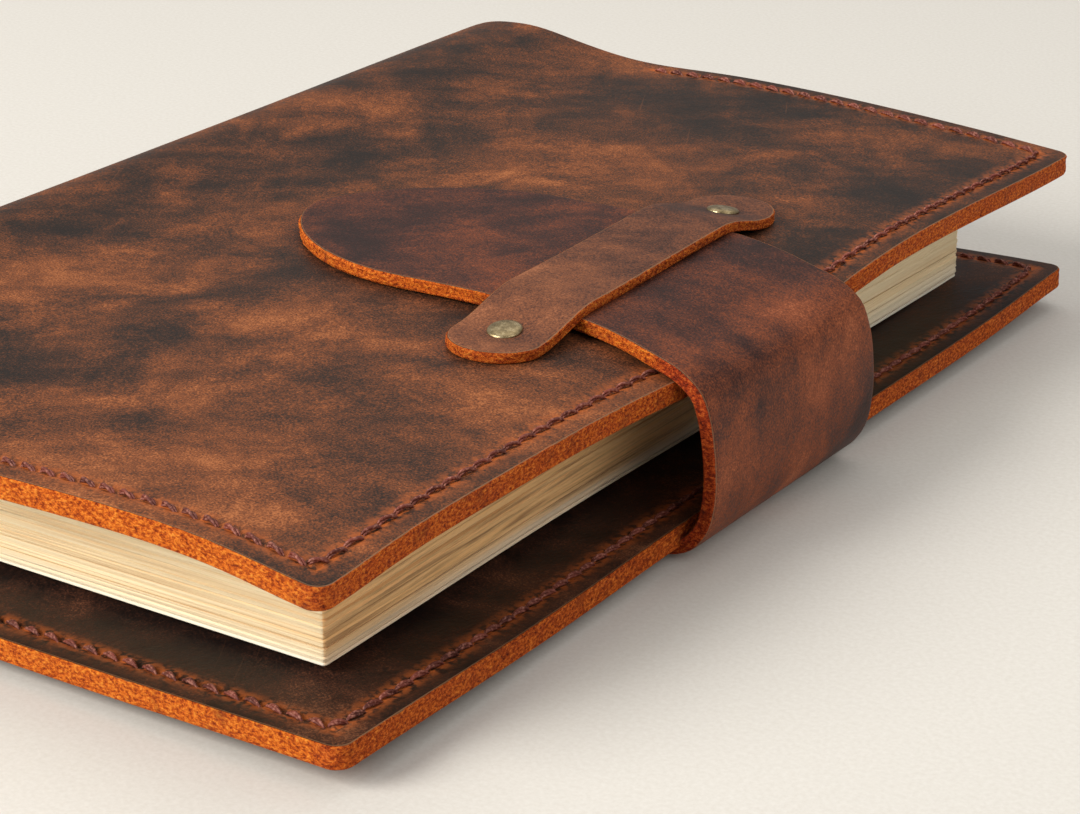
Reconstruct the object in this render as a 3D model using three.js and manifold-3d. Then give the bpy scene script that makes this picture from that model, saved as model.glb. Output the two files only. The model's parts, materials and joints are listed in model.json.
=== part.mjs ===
// Leather notebook cover that holds a standard 130 x 210 mm notebook, closed by a broad tongue
// that wraps the fore edge and slips under a riveted keeper on the front.
// Units are millimetres. +X runs from the spine to the fore edge, +Y from foot to head, +Z up.
// The origin is at the middle of the bounding box, on the surface that the cover lies on.

import * as THREE from "three";
import { mergeVertices } from "three/addons/utils/BufferGeometryUtils.js";
import Module from "manifold-3d";

const wasm = await Module();
wasm.setup();

// ---- driving dimensions ----------------------------------------------------------------------

const COVER_LENGTH = 242; // foot to head
const COVER_WIDTH = 153; // spine to fore edge
const LEATHER = 2.0; // outer leather and pocket leather, each
const PLY_GAP = 0.1; // between two plies that lie on each other
const FIT_GAP = 0.3; // between pieces that slide or are cut by each other
const CORNER_RADIUS = 5;
const OUTER_BEVEL = 0.98; // on the outer leather's edges
const POCKET_BEVEL = 0.5;
const SPINE_GAP = 0.15; // between the spine and a cover panel, each a length of one sheet
const PAST = 1; // how far a cutting solid runs past what it cuts
const ROUND_SIDES = 24;

const TONGUE_THICKNESS = 2.6;
const TONGUE_WIDTH = 54;
const TONGUE_TIP_REACH = 98; // from the fore edge back over the front cover
const TONGUE_TIP_TAPER = 38; // length of the rounded tip
const TONGUE_REACH = 8.7; // how far the bend stands out past the fore edge
const BEND_START = 0.3; // where the bend leaves the flat, past the fore edge
const ANCHOR = { length: 112, taper: 27, seamFromFore: 8 }; // the sewn end, under the back cover

const KEEPER = { width: 17, length: 92, thickness: 2.4, foreInset: 29.5, rise: 4.7, room: 0.6 };
const RIVET = { spacing: 72, capRadius: 3.0, capHeight: 1.5, postRadius: 1.2, flangeRadius: 3.0 };
const RIVET_CLEARANCE = 0.3;
const RIVET_FLANGE = 0.5;
const RIVET_POST_IN_CAP = 0.5;
const RIVET_BORE = { clearance: 0.15, depth: 0.7 };
const RIVET_RIM = 0.35; // height of the cap's upright edge

const POCKET_WIDTH = 100; // pocket leather, measured from the fore edge
const POCKET_SKIVED = 1.2; // pocket leather where it covers the notebook's board
const BOARD = { width: 128, length: 212, thickness: 1.0, overhang: 1 };
const POCKET_ROOM = { length: 1, fore: 0.5, ledge: 3 }; // round the board; the step's ledge

const BLOCK = { width: 130, length: 210, foreInset: 16, thickness: 23.3, clearance: 0.5 };
const SIGNATURES_PER_HALF = 4;
const ENDPAPER = 0.5;
const LEAF_GAP = 0.1;

const THREAD = { width: 0.9, height: 0.8, inset: 4.6, cornerRadius: 3 };
const GROOVE = { width: 1.5, depth: 0.7 };
const THREAD_LIFT = 0.1; // clear of the groove's floor

// ---- places worked out from them -------------------------------------------------------------

const foreX = (COVER_WIDTH + TONGUE_REACH) / 2 - TONGUE_REACH;
const spineX = foreX - COVER_WIDTH;
const foldX = spineX + LEATHER; // the spine leather's inner face, where both folds turn

const backBottom = TONGUE_THICKNESS + FIT_GAP;
const backInner = backBottom + LEATHER; // height of the back fold
const backPocketTop = backInner + PLY_GAP + LEATHER;

const blockBottom = backInner + 2 * PLY_GAP + BOARD.thickness + POCKET_SKIVED + BLOCK.clearance;
const blockTop = blockBottom + BLOCK.thickness;
const blockMiddle = (blockBottom + blockTop) / 2;
const frontInner = 2 * blockMiddle - backInner; // height of the front fold
const frontTop = frontInner + LEATHER;

const flapBottom = frontTop + FIT_GAP;
const flapTop = flapBottom + TONGUE_THICKNESS;
const keeperX = foreX - KEEPER.foreInset;
const blockForeX = foreX - BLOCK.foreInset;
const blockSpineX = blockForeX - BLOCK.width;

// ---- helpers -----------------------------------------------------------------------------------

function solidOf(geometry) {
  const bare = geometry.index ? geometry.clone() : geometry;
  bare.deleteAttribute("normal");
  bare.deleteAttribute("uv");
  const merged = mergeVertices(bare, 1e-4);
  return new wasm.Manifold(
    new wasm.Mesh({
      numProp: 3,
      vertProperties: new Float32Array(merged.attributes.position.array),
      triVerts: new Uint32Array(merged.index.array),
    })
  );
}

function geometryOf(solid) {
  const mesh = solid.getMesh();
  const geometry = new THREE.BufferGeometry();
  geometry.setAttribute("position", new THREE.BufferAttribute(mesh.vertProperties, 3));
  geometry.setIndex(new THREE.BufferAttribute(mesh.triVerts, 1));
  return geometry;
}

// A flat plate with its outline in plan, between two heights, with bevelled edges.
function plate(outline, bottom, top, bevel = 0) {
  const geometry = new THREE.ExtrudeGeometry(outline, {
    depth: top - bottom - 2 * bevel,
    curveSegments: 8,
    bevelEnabled: bevel > 0,
    bevelThickness: bevel,
    bevelSize: bevel,
    bevelOffset: -bevel,
    bevelSegments: 1,
  });
  geometry.translate(0, 0, bottom + bevel);
  return geometry;
}

function block(x0, x1, y0, y1, z0, z1) {
  const geometry = new THREE.BoxGeometry(x1 - x0, y1 - y0, z1 - z0);
  geometry.translate((x0 + x1) / 2, (y0 + y1) / 2, (z0 + z1) / 2);
  return geometry;
}

function cylinder(radius, bottom, top, x, y) {
  const geometry = new THREE.CylinderGeometry(radius, radius, top - bottom, ROUND_SIDES);
  geometry.rotateX(Math.PI / 2);
  geometry.translate(x, y, (bottom + top) / 2);
  return geometry;
}

// A cover panel in plan: square at the spine side, rounded at its two fore corners.
function panelOutline(x0, x1) {
  const halfLength = COVER_LENGTH / 2;
  const r = CORNER_RADIUS;
  const outline = new THREE.Shape();
  outline.moveTo(x0, -halfLength);
  outline.lineTo(x1 - r, -halfLength);
  outline.absarc(x1 - r, r - halfLength, r, -Math.PI / 2, 0, false);
  outline.lineTo(x1, halfLength - r);
  outline.absarc(x1 - r, halfLength - r, r, 0, Math.PI / 2, false);
  outline.lineTo(x0, halfLength);
  outline.closePath();
  return outline;
}

// A ribbon in plan that runs along the foot, the fore edge and the head of a cover panel.
function stitchLine(width) {
  const outer = { x: foreX - THREAD.inset + width / 2, y: COVER_LENGTH / 2 - THREAD.inset + width / 2 };
  const inner = { x: outer.x - width, y: outer.y - width };
  const start = foreX - POCKET_WIDTH + THREAD.inset - width / 2;
  const rOut = THREAD.cornerRadius + width / 2;
  const rIn = THREAD.cornerRadius - width / 2;
  const quarter = Math.PI / 2;
  const ribbon = new THREE.Shape();
  ribbon.moveTo(start, -outer.y);
  ribbon.lineTo(outer.x - rOut, -outer.y);
  ribbon.absarc(outer.x - rOut, rOut - outer.y, rOut, -quarter, 0, false);
  ribbon.lineTo(outer.x, outer.y - rOut);
  ribbon.absarc(outer.x - rOut, outer.y - rOut, rOut, 0, quarter, false);
  ribbon.lineTo(start, outer.y);
  ribbon.lineTo(start, inner.y);
  ribbon.lineTo(inner.x - rIn, inner.y);
  ribbon.absarc(inner.x - rIn, inner.y - rIn, rIn, quarter, 0, true);
  ribbon.lineTo(inner.x, rIn - inner.y);
  ribbon.absarc(inner.x - rIn, rIn - inner.y, rIn, 0, -quarter, true);
  ribbon.lineTo(start, -inner.y);
  ribbon.closePath();
  return ribbon;
}

// The tongue's rounded end: half an ellipse whose point is tipX, with straight sides to baseX.
function tongueOutline(baseX, tipX, halfWidth, taper) {
  const towards = Math.sign(baseX - tipX);
  const outline = new THREE.Shape();
  outline.moveTo(baseX, -towards * halfWidth);
  outline.lineTo(baseX, towards * halfWidth);
  outline.lineTo(tipX + towards * taper, towards * halfWidth);
  outline.absellipse(
    tipX + towards * taper, 0, taper, halfWidth,
    (towards * Math.PI) / 2, (towards * Math.PI) / 2 + Math.PI, false
  );
  outline.closePath();
  return outline;
}

// A section drawn in X and Z, pushed along Y to both sides of the middle.
function acrossY(points, halfWidth) {
  const section = new THREE.Shape(points.map(([x, z]) => new THREE.Vector2(x, z)));
  const geometry = new THREE.ExtrudeGeometry(section, { depth: 2 * halfWidth, bevelEnabled: false });
  geometry.applyMatrix4(
    new THREE.Matrix4().makeBasis(
      new THREE.Vector3(1, 0, 0), new THREE.Vector3(0, 0, 1), new THREE.Vector3(0, -1, 0)
    )
  );
  geometry.translate(0, halfWidth, 0);
  return geometry;
}

// ---- materials ---------------------------------------------------------------------------------

const finish = (color, roughness, metalness = 0) =>
  new THREE.MeshStandardMaterial({ color, roughness, metalness });

const coverLeather = finish(0x54301f, 0.55);
const pocketLeather = finish(0x3a2116, 0.6);
const tongueLeather = finish(0x633021, 0.5);
const keeperLeather = finish(0x6e3a24, 0.5);
const waxedThread = finish(0x4a2018, 0.7);
const antiqueBrass = finish(0x8c7444, 0.35, 0.9);
const paper = finish(0xe3d3ae, 0.85);
const whitePaper = finish(0xf0ebdd, 0.85);
const boardCard = finish(0x2d2a28, 0.8);

const notebookCover = new THREE.Group();

function add(name, geometry, material) {
  const mesh = new THREE.Mesh(geometry, material);
  mesh.name = name;
  notebookCover.add(mesh);
}

// ---- covers ------------------------------------------------------------------------------------

const rivetPlaces = { foot: -RIVET.spacing / 2, head: RIVET.spacing / 2 };

// Outer leather with the stitching groove in its outer face; the front one is bored for rivets.
function outerLeather(bottom, grooveFloor, grooveMouth, rivets) {
  const panel = panelOutline(foldX + SPINE_GAP, foreX);
  let solid = solidOf(plate(panel, bottom, bottom + LEATHER, OUTER_BEVEL));
  solid = solid.subtract(solidOf(plate(stitchLine(GROOVE.width), grooveFloor, grooveMouth)));
  for (const y of rivets) {
    const hole = RIVET.postRadius + RIVET_CLEARANCE;
    const recess = RIVET.flangeRadius + RIVET_CLEARANCE;
    solid = solid.subtract(solidOf(cylinder(hole, bottom - PAST, bottom + LEATHER + PAST, keeperX, y)));
    solid = solid.subtract(
      solidOf(cylinder(recess, bottom - PAST, bottom + RIVET_FLANGE + PLY_GAP, keeperX, y))
    );
  }
  return geometryOf(solid);
}

// Pocket leather: flat round its sewn edge, stepped inwards where the notebook's board slides in.
// inward is +1 on the back cover and -1 on the front cover.
function pocketLeatherPly(outerFace, inward) {
  const height = (offset) => outerFace + inward * offset;
  const between = (a, b) => [Math.min(height(a), height(b)), Math.max(height(a), height(b))];
  const startX = foreX - POCKET_WIDTH;
  const halfBoard = BOARD.length / 2 + POCKET_ROOM.length;
  const boardForeX = blockForeX + BOARD.overhang + POCKET_ROOM.fore;
  const panForeX = boardForeX + POCKET_ROOM.ledge;
  const halfPan = halfBoard + POCKET_ROOM.ledge;
  const cavity = BOARD.thickness + 2 * PLY_GAP;
  const [sheetLow, sheetHigh] = between(PLY_GAP, PLY_GAP + LEATHER);
  const sheet = solidOf(plate(panelOutline(startX, foreX), sheetLow, sheetHigh, POCKET_BEVEL));
  const [panLow, panHigh] = between(PLY_GAP + LEATHER / 2, cavity + POCKET_SKIVED);
  const pan = solidOf(
    block(startX, panForeX, -halfPan, halfPan, panLow, panHigh)
  );
  const [cutLow, cutHigh] = between(-PAST, cavity);
  const cutX = startX - PAST;
  const board = solidOf(block(cutX, boardForeX, -halfBoard, halfBoard, cutLow, cutHigh));
  const [grooveLow, grooveHigh] = between(PLY_GAP + LEATHER - GROOVE.depth, PLY_GAP + LEATHER + PAST);
  const groove = solidOf(plate(stitchLine(GROOVE.width), grooveLow, grooveHigh));
  const clearOfPan = solidOf(
    block(cutX, panForeX, -halfPan, halfPan, 0, flapTop)
  );
  return geometryOf(sheet.add(pan).subtract(board).subtract(groove.subtract(clearOfPan)));
}

function thread(bottom) {
  return plate(stitchLine(THREAD.width), bottom, bottom + THREAD.height);
}

function notebookBoard(bottom) {
  const x1 = blockForeX + BOARD.overhang;
  return block(x1 - BOARD.width, x1, -BOARD.length / 2, BOARD.length / 2, bottom, bottom + BOARD.thickness);
}

add("back_outer_leather", outerLeather(backBottom, 0, backBottom + GROOVE.depth, []), coverLeather);
add("back_pocket_leather", pocketLeatherPly(backInner, 1), pocketLeather);
add("back_thread_outer", thread(backBottom + GROOVE.depth - THREAD_LIFT - THREAD.height), waxedThread);
add("back_thread_inner", thread(backPocketTop - GROOVE.depth + THREAD_LIFT), waxedThread);
add("notebook_back_board", notebookBoard(backInner + PLY_GAP), boardCard);

const rivetYs = Object.values(rivetPlaces);
add(
  "front_outer_leather",
  outerLeather(frontInner, frontTop - GROOVE.depth, frontTop + PAST, rivetYs),
  coverLeather
);
add("front_pocket_leather", pocketLeatherPly(frontInner, -1), pocketLeather);
add("front_thread_outer", thread(frontTop - GROOVE.depth + THREAD_LIFT), waxedThread);
const frontPocketBottom = frontInner - PLY_GAP - LEATHER;
add(
  "front_thread_inner",
  thread(frontPocketBottom + GROOVE.depth - THREAD_LIFT - THREAD.height),
  waxedThread
);
add("notebook_front_board", notebookBoard(frontInner - PLY_GAP - BOARD.thickness), boardCard);

// The spine stands between the two folds. Each fold turns about its inner face, so that the
// three outer leathers lie in one plane when the cover is open.
const spineHalf = COVER_LENGTH / 2;
add(
  "spine_leather",
  block(spineX, foldX, -spineHalf, spineHalf, backInner + SPINE_GAP, frontInner - SPINE_GAP),
  coverLeather
);

// ---- text block --------------------------------------------------------------------------------

const halfBlock = (BLOCK.thickness - LEAF_GAP) / 2;
const signature = (halfBlock - ENDPAPER - SIGNATURES_PER_HALF * LEAF_GAP) / SIGNATURES_PER_HALF;
const halfPage = BLOCK.length / 2;

function leaves(bottom, thickness) {
  return block(blockSpineX, blockForeX, -halfPage, halfPage, bottom, bottom + thickness);
}

add("back_endpaper", leaves(blockBottom, ENDPAPER), whitePaper);
add("front_endpaper", leaves(blockTop - ENDPAPER, ENDPAPER), whitePaper);
for (let i = 0; i < SIGNATURES_PER_HALF; i++) {
  const fromCover = ENDPAPER + LEAF_GAP + i * (signature + LEAF_GAP);
  add(`back_signature_${i + 1}`, leaves(blockBottom + fromCover, signature), paper);
  add(`front_signature_${i + 1}`, leaves(blockTop - fromCover - signature, signature), paper);
}

// ---- keeper and its rivets ---------------------------------------------------------------------

// Side view in Y and Z: two flat ends on the cover, a flat bridge over the tongue between them.
function keeperStrap() {
  const end = KEEPER.length / 2;
  const bridge = TONGUE_WIDTH / 2 + KEEPER.room;
  const foot = bridge + KEEPER.rise;
  const low = frontTop + PLY_GAP;
  const high = flapTop + FIT_GAP;
  const t = KEEPER.thickness;
  const side = [
    [-end, low], [-foot, low], [-bridge, high], [bridge, high], [foot, low], [end, low],
    [end, low + t], [foot, low + t], [bridge, high + t], [-bridge, high + t], [-foot, low + t],
    [-end, low + t],
  ];
  const section = new THREE.Shape(side.map(([y, z]) => new THREE.Vector2(y, z)));
  const bar = new THREE.ExtrudeGeometry(section, { depth: KEEPER.width, bevelEnabled: false });
  bar.applyMatrix4(
    new THREE.Matrix4().makeBasis(
      new THREE.Vector3(0, 1, 0), new THREE.Vector3(0, 0, 1), new THREE.Vector3(1, 0, 0)
    )
  );
  bar.translate(keeperX - KEEPER.width / 2, 0, 0);
  const r = KEEPER.width / 2;
  const plan = new THREE.Shape();
  plan.absarc(keeperX, end - r, r, 0, Math.PI, false);
  plan.absarc(keeperX, r - end, r, Math.PI, 2 * Math.PI, false);
  plan.closePath();
  let solid = solidOf(bar).intersect(solidOf(plate(plan, low - PAST, high + t + PAST)));
  for (const y of rivetYs) {
    const hole = RIVET.postRadius + RIVET_CLEARANCE;
    solid = solid.subtract(solidOf(cylinder(hole, low - PAST, high + t + PAST, keeperX, y)));
  }
  return geometryOf(solid);
}

add("keeper_strap", keeperStrap(), keeperLeather);

// A low dome with a blind bore that the post's head sits in.
function rivetCap(y) {
  const bore = RIVET.postRadius + RIVET_BORE.clearance;
  const profile = [
    new THREE.Vector2(0, RIVET_BORE.depth), new THREE.Vector2(bore, RIVET_BORE.depth),
    new THREE.Vector2(bore, 0), new THREE.Vector2(RIVET.capRadius, 0),
  ];
  const domeSteps = 6;
  for (let i = 0; i <= domeSteps; i++) {
    const angle = (i / domeSteps) * (Math.PI / 2);
    const radius = RIVET.capRadius * Math.cos(angle);
    const height = RIVET_RIM + (RIVET.capHeight - RIVET_RIM) * Math.sin(angle);
    profile.push(new THREE.Vector2(radius, height));
  }
  const geometry = new THREE.LatheGeometry(profile, ROUND_SIDES);
  geometry.rotateX(Math.PI / 2);
  geometry.translate(keeperX, y, frontTop + PLY_GAP + KEEPER.thickness + PLY_GAP / 2);
  return geometry;
}

// A flange under the outer leather with a post that reaches up into the cap.
function rivetPost(y) {
  const flangeBottom = frontInner + PLY_GAP / 2;
  const postTop = frontTop + PLY_GAP + KEEPER.thickness + PLY_GAP / 2 + RIVET_POST_IN_CAP;
  const flange = cylinder(RIVET.flangeRadius, flangeBottom, flangeBottom + RIVET_FLANGE, keeperX, y);
  const post = cylinder(RIVET.postRadius, flangeBottom + RIVET_FLANGE / 2, postTop, keeperX, y);
  return geometryOf(solidOf(flange).add(solidOf(post)));
}

for (const [side, y] of Object.entries(rivetPlaces)) {
  add(`rivet_cap_${side}`, rivetCap(y), antiqueBrass);
  add(`rivet_post_${side}`, rivetPost(y), antiqueBrass);
}

// ---- tongue ------------------------------------------------------------------------------------

// The anchor lies under the back cover, with a groove in its underside for the sewing thread.
const anchorTipX = foreX - ANCHOR.length;
const anchorEndX = foreX + BEND_START - TONGUE_THICKNESS * Math.tan(Math.PI / 8) - PLY_GAP;

function anchorStitch(width) {
  const inset = THREAD.inset;
  const ring = (grow) =>
    tongueOutline(
      foreX - ANCHOR.seamFromFore + grow, anchorTipX + inset - grow,
      TONGUE_WIDTH / 2 - inset + grow, ANCHOR.taper - inset / 2 + grow
    );
  const ribbon = ring(width / 2);
  ribbon.holes.push(ring(-width / 2));
  return ribbon;
}

const anchorPlan = tongueOutline(anchorEndX, anchorTipX, TONGUE_WIDTH / 2, ANCHOR.taper);
add(
  "tongue_anchor",
  geometryOf(
    solidOf(plate(anchorPlan, 0, TONGUE_THICKNESS)).subtract(
      solidOf(plate(anchorStitch(GROOVE.width), -PAST, THREAD.height + 2 * THREAD_LIFT))
    )
  ),
  tongueLeather
);
add(
  "tongue_anchor_thread",
  plate(anchorStitch(THREAD.width), THREAD_LIFT / 2, THREAD_LIFT / 2 + THREAD.height),
  waxedThread
);

// The bend: three straight lengths with mitred ends, each turned 45 degrees from the one before,
// which pivot on the tongue's outer face. The flap is the fourth.
const bendX = foreX + BEND_START;
const outX = foreX + TONGUE_REACH;
const leg = outX - bendX;
const mitre = TONGUE_THICKNESS * Math.tan(Math.PI / 8);
const pivots = [[bendX, 0], [outX, leg], [outX, flapTop - leg], [bendX, flapTop]];

function bendLength(a, b) {
  const length = Math.hypot(b[0] - a[0], b[1] - a[1]);
  const along = [(b[0] - a[0]) / length, (b[1] - a[1]) / length];
  const inward = [-along[1], along[0]];
  const point = (s, depth) => [
    a[0] + along[0] * s + inward[0] * depth,
    a[1] + along[1] * s + inward[1] * depth,
  ];
  const end = PLY_GAP / 2;
  return acrossY(
    [
      point(end, 0), point(length - end, 0),
      point(length - end - mitre, TONGUE_THICKNESS), point(end + mitre, TONGUE_THICKNESS),
    ],
    TONGUE_WIDTH / 2
  );
}

for (let i = 0; i < 3; i++) {
  add(`tongue_bend_${i + 1}`, bendLength(pivots[i], pivots[i + 1]), tongueLeather);
}

const flapPlan = tongueOutline(
  bendX - mitre - PLY_GAP, foreX - TONGUE_TIP_REACH, TONGUE_WIDTH / 2, TONGUE_TIP_TAPER
);
add("tongue_flap", plate(flapPlan, flapBottom, flapTop), tongueLeather);

export default notebookCover;
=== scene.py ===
"""A leather notebook cover, closed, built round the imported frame. Lengths are in metres."""
import json
import math

import bmesh
import bpy
import numpy as np
from mathutils import Matrix, Vector


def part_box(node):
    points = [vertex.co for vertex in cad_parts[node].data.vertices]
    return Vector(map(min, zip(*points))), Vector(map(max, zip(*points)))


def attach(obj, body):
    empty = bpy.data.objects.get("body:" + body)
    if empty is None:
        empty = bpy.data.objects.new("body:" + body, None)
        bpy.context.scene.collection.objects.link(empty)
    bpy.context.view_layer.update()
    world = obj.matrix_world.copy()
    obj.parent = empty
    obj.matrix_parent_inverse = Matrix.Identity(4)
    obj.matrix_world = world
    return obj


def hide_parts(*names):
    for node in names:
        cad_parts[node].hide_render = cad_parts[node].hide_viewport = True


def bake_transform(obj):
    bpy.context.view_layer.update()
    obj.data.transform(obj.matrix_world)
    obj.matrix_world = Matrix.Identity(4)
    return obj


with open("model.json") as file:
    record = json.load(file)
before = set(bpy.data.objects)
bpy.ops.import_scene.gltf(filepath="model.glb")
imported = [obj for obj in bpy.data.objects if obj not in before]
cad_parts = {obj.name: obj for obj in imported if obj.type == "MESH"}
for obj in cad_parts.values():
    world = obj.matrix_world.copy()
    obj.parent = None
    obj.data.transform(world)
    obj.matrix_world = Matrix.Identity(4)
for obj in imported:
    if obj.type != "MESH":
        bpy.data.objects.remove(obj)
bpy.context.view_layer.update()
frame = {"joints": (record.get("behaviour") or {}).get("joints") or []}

MM = 0.001

# ---- places read from the frame ----

BACK_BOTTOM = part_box("back_outer_leather")[0].z
FRONT_LOW, FRONT_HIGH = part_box("front_outer_leather")
FORE_X, HALF, FRONT_TOP = FRONT_HIGH
PLY = FRONT_HIGH.z - FRONT_LOW.z
SPINE_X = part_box("spine_leather")[0].x
FLAP_LOW, FLAP_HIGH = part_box("tongue_flap")
TONGUE_HALF = FLAP_HIGH.y
TONGUE_THICK = FLAP_HIGH.z - FLAP_LOW.z
SEWN_LENGTH = FORE_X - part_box("tongue_anchor")[0].x
KEEPER_LOW, KEEPER_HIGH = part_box("keeper_strap")
POCKET_LOW, POCKET_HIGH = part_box("front_pocket_leather")
THREAD_LOW, THREAD_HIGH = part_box("front_thread_outer")
CAP_LOW, CAP_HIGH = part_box("rivet_cap_head")
RIVET_Y = (CAP_LOW.y + CAP_HIGH.y) / 2
PIVOT = {joint["name"]: Vector(joint["pos_m"]) for joint in frame["joints"]}

MIDDLE_Z = (BACK_BOTTOM + FRONT_TOP) / 2
CURVE_STEP = 0.5 * MM
CORNER_RADIUS = 3.0 * MM
KEEPER_THICK = 2.1 * MM
STITCH_INSET = FORE_X - THREAD_HIGH.x + 0.45 * MM
STITCH_PITCH = 3.9 * MM
STITCH_START = THREAD_LOW.x


# ---- camera, light, floor ----

CAMERA_PLACE = (0.3021, -0.4042, 0.2088)
CAMERA_TURN = (34.35, 22.29, -0.25)  # azimuth, elevation and roll in degrees, fitted to the photo
CAMERA_LENS, CAMERA_SENSOR, CAMERA_CLIP = 98.2, 36, 0.02
LIGHT_AIM = Vector((0, 0, 0.02))
LIGHTS = (  # name, place, size, power, colour
    ("window", (-0.62, -1.15, 0.80), 0.9, 27, (1.0, 0.96, 0.90)),
    ("side", (1.1, -0.25, 0.9), 1.2, 5, (1.0, 0.97, 0.93)),
    ("top", (-0.2, 0.5, 1.3), 1.6, 6.5, (1.0, 0.98, 0.95)),
)
SKY_COLOR, SKY_STRENGTH = (1.0, 0.98, 0.95, 1), 0.38


def make_camera():
    azimuth, elevation, roll = (math.radians(angle) for angle in CAMERA_TURN)
    forward = Vector((
        -math.sin(azimuth) * math.cos(elevation),
        math.cos(azimuth) * math.cos(elevation),
        -math.sin(elevation),
    ))
    level = Vector((math.cos(azimuth), math.sin(azimuth), 0))
    upright = level.cross(forward)
    right = math.cos(roll) * level + math.sin(roll) * upright
    up = -math.sin(roll) * level + math.cos(roll) * upright
    data = bpy.data.cameras.new("camera")
    data.sensor_width, data.lens, data.clip_start = CAMERA_SENSOR, CAMERA_LENS, CAMERA_CLIP
    camera = bpy.data.objects.new("camera", data)
    turn = Matrix((right, up, -forward)).transposed().to_4x4()
    camera.matrix_world = Matrix.Translation(CAMERA_PLACE) @ turn
    bpy.context.scene.collection.objects.link(camera)
    bpy.context.scene.camera = camera


def make_lights():
    for name, place, size, power, color in LIGHTS:
        data = bpy.data.lights.new(name, "AREA")
        data.shape, data.size, data.energy, data.color = "DISK", size, power, color
        light = bpy.data.objects.new(name, data)
        light.location = place
        light.rotation_euler = (LIGHT_AIM - Vector(place)).to_track_quat("-Z", "Y").to_euler()
        bpy.context.scene.collection.objects.link(light)
    world = bpy.data.worlds.new("studio")
    world.use_nodes = True
    background = world.node_tree.nodes["Background"]
    background.inputs["Color"].default_value = SKY_COLOR
    background.inputs["Strength"].default_value = SKY_STRENGTH
    bpy.context.scene.world = world
    bpy.context.scene.view_settings.view_transform = "Standard"


# ---- shader helpers ----

class Shader:
    """A material's node tree, with one short call for each kind of node that the finishes use."""

    def __init__(self, name):
        self.material = bpy.data.materials.new(name)
        self.material.use_nodes = True
        self.tree = self.material.node_tree
        self.surface = self.tree.nodes["Principled BSDF"]
        rest = self.attribute("rest", "Vector")
        scaled = self.add("VectorMath", {0: rest, "Scale": 1 / MM}, operation="SCALE")
        self.rest = scaled.outputs["Vector"]

    def put(self, node, socket, value):
        if isinstance(value, bpy.types.NodeSocket):
            self.tree.links.new(value, node.inputs[socket])
        else:
            node.inputs[socket].default_value = value

    def add(self, kind, inputs, **settings):
        """A node of one kind: its settings first, then the value or the link of each input."""
        node = self.tree.nodes.new("ShaderNode" + kind)
        for key, value in settings.items():
            setattr(node, key, value)
        for socket, value in inputs.items():
            self.put(node, socket, value)
        return node

    def set(self, socket, value):
        self.put(self.surface, socket, value)

    def attribute(self, name, output="Fac"):
        return self.add("Attribute", {}, attribute_name=name).outputs[output]

    def axis(self, name):
        """One coordinate of the rest place, in millimetres."""
        return self.add("SeparateXYZ", {0: self.rest}).outputs[name]

    def math(self, operation, a, b, c=0.0, clamp=False):
        node = self.add("Math", {0: a, 1: b, 2: c}, operation=operation, use_clamp=clamp)
        return node.outputs[0]

    def plus(self, a, b):
        return self.math("ADD", a, b)

    def minus(self, a, b):
        return self.math("SUBTRACT", a, b)

    def times(self, a, b):
        return self.math("MULTIPLY", a, b)

    def scaled(self, a, scale, base, clamp=False):
        """base, and a times its scale."""
        return self.math("MULTIPLY_ADD", a, scale, base, clamp)

    def texture(self, kind, size, inputs, turn=0.0):
        """A texture with features of a size in millimetres, or of a size on each axis."""
        sizes = size if isinstance(size, tuple) else (size, size, size)
        mapping = {"Vector": self.rest, "Rotation": (0, 0, turn), "Scale": sizes}
        place = self.add("Mapping", mapping, vector_type="TEXTURE")
        return self.add(kind, {"Vector": place.outputs["Vector"], "Scale": 1.0, **inputs}).outputs

    def noise(self, size, detail=3.0, rough=0.55, distort=0.0, turn=0.0):
        inputs = {"Detail": detail, "Roughness": rough, "Distortion": distort}
        return self.texture("TexNoise", size, inputs, turn)["Fac"]

    def cells(self, size):
        return self.texture("TexVoronoi", size, {})["Distance"]

    def ramp(self, value, stops):
        node = self.add("ValToRGB", {"Fac": value})
        elements = node.color_ramp.elements
        while len(elements) < len(stops):
            elements.new(0.5)
        for element, (place, color) in zip(elements, stops):
            element.position, element.color = place, (*color, 1)
        return node.outputs["Color"]

    def band(self, value, low, high):
        """0 below low, 1 above high, smooth between them; the other way round if low > high."""
        rising = float(low < high)
        inputs = {"Value": value, "From Min": min(low, high), "From Max": max(low, high),
                  "To Min": 1 - rising, "To Max": rising}
        return self.add("MapRange", inputs, interpolation_type="SMOOTHSTEP").outputs["Result"]

    def mix(self, share, a, b):
        a, b = ((*color, 1) if isinstance(color, tuple) else color for color in (a, b))
        return self.add("Mix", {0: share, 6: a, 7: b}, data_type="RGBA").outputs[2]

    def bump(self, height, distance, strength=1.0, under=None):
        inputs = {"Distance": distance, "Strength": strength, "Height": height}
        if under is not None:
            inputs["Normal"] = under
        return self.add("Bump", inputs).outputs["Normal"]


# ---- finishes ----

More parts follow.
